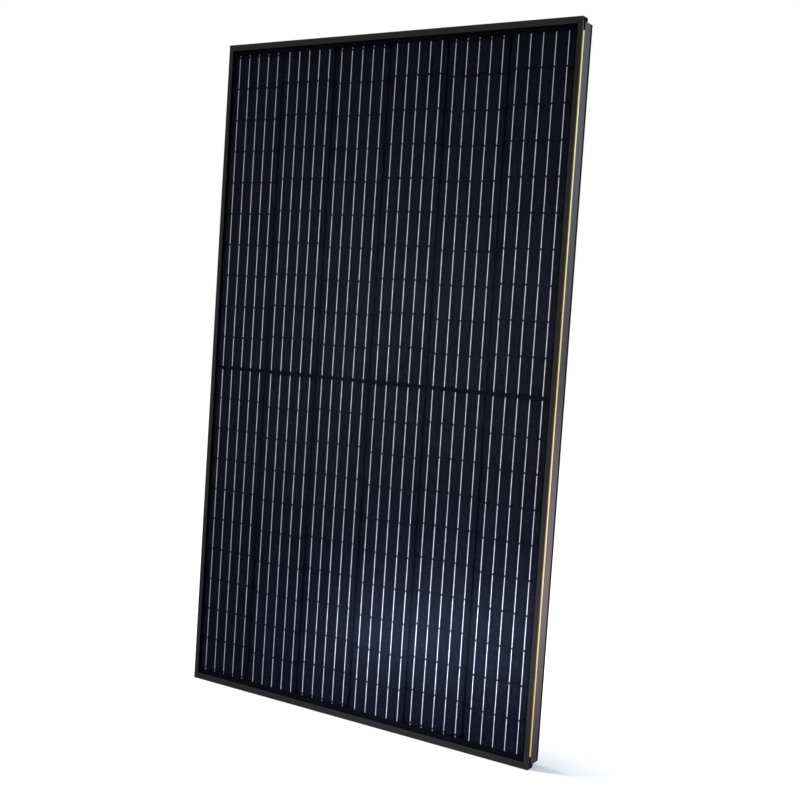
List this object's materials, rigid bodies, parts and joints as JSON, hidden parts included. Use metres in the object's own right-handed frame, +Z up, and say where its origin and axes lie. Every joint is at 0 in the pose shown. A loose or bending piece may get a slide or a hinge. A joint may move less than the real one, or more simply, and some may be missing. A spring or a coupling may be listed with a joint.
{
  "type": "solar panel",
  "caption": "Framed black photovoltaic module of half cells with bright ribbons under glass, carried by slotted rear flanges or edge clamps.",
  "frame": {"origin": "middle of the plane that the rear flanges lie in, where the module meets its rack", "axes": "+Z up along the module's long side, +Y from the glass to the back, +X to the right seen from the glass side"},
  "size_m": [1.002, 0.05, 1.672],
  "materials": {
    "black_anodised": "satin black anodised extrusion",
    "bare_aluminium": "mill finish",
    "yellow_strip": "satin pale yellow",
    "edge_tape": "matte foam tape",
    "solar_glass": "lightly textured low-iron glass",
    "encapsulant": "clear cured film",
    "rear_sheet": "matte black rear sheet",
    "mask": "matte black film",
    "silicon_cell": "near-black blue, fine printed lines",
    "tinned_ribbon": "satin tinned copper",
    "box_plastic": "fine textured black moulding",
    "silicone": "satin dark grey silicone",
    "potting": "glossy dark potting",
    "contact_metal": "tinned contact rail",
    "diode_body": "moulded diode"
  },
  "bodies": {
    "root": {"box_base_left": "box_plastic", "box_base_middle": "box_plastic", "box_base_right": "box_plastic", "box_bead_left": "silicone", "box_bead_middle": "silicone", "box_bead_right": "silicone", "box_contacts_left": "contact_metal", "box_contacts_middle": "contact_metal", "box_contacts_right": "contact_metal", "box_diode_left": "diode_body", "box_diode_middle": "diode_body", "box_diode_right": "diode_body", "box_lid_left": "box_plastic", "box_lid_middle": "box_plastic", "box_lid_right": "box_plastic", "box_potting_left": "potting", "box_potting_middle": "potting", "box_potting_right": "potting", "cable_gland_left": "box_plastic", "cable_gland_right": "box_plastic", "cells_column_1": "silicon_cell", "cells_column_2": "silicon_cell", "cells_column_3": "silicon_cell", "cells_column_4": "silicon_cell", "cells_column_5": "silicon_cell", "cells_column_6": "silicon_cell", "corner_key_bottom_left": "bare_aluminium", "corner_key_bottom_right": "bare_aluminium", "corner_key_top_left": "bare_aluminium", "corner_key_top_right": "bare_aluminium", "cross_ribbon_bottom": "tinned_ribbon", "cross_ribbon_centre": "tinned_ribbon", "cross_ribbon_top": "tinned_ribbon", "edge_tape_bottom": "edge_tape", "edge_tape_left": "edge_tape", "edge_tape_right": "edge_tape", "edge_tape_top": "edge_tape", "frame_end_bottom": "black_anodised", "frame_end_top": "black_anodised", "frame_rail_left": "black_anodised", "frame_rail_right": "black_anodised", "front_film": "encapsulant", "front_glass": "solar_glass", "mask_bottom": "mask", "mask_centre": "mask", "mask_top": "mask", "rear_film": "encapsulant", "rear_sheet": "rear_sheet", "ribbons_column_1": "tinned_ribbon", "ribbons_column_2": "tinned_ribbon", "ribbons_column_3": "tinned_ribbon", "ribbons_column_4": "tinned_ribbon", "ribbons_column_5": "tinned_ribbon", "ribbons_column_6": "tinned_ribbon", "side_strip_left": "yellow_strip", "side_strip_right": "yellow_strip"}
  },
  "joints": []
}
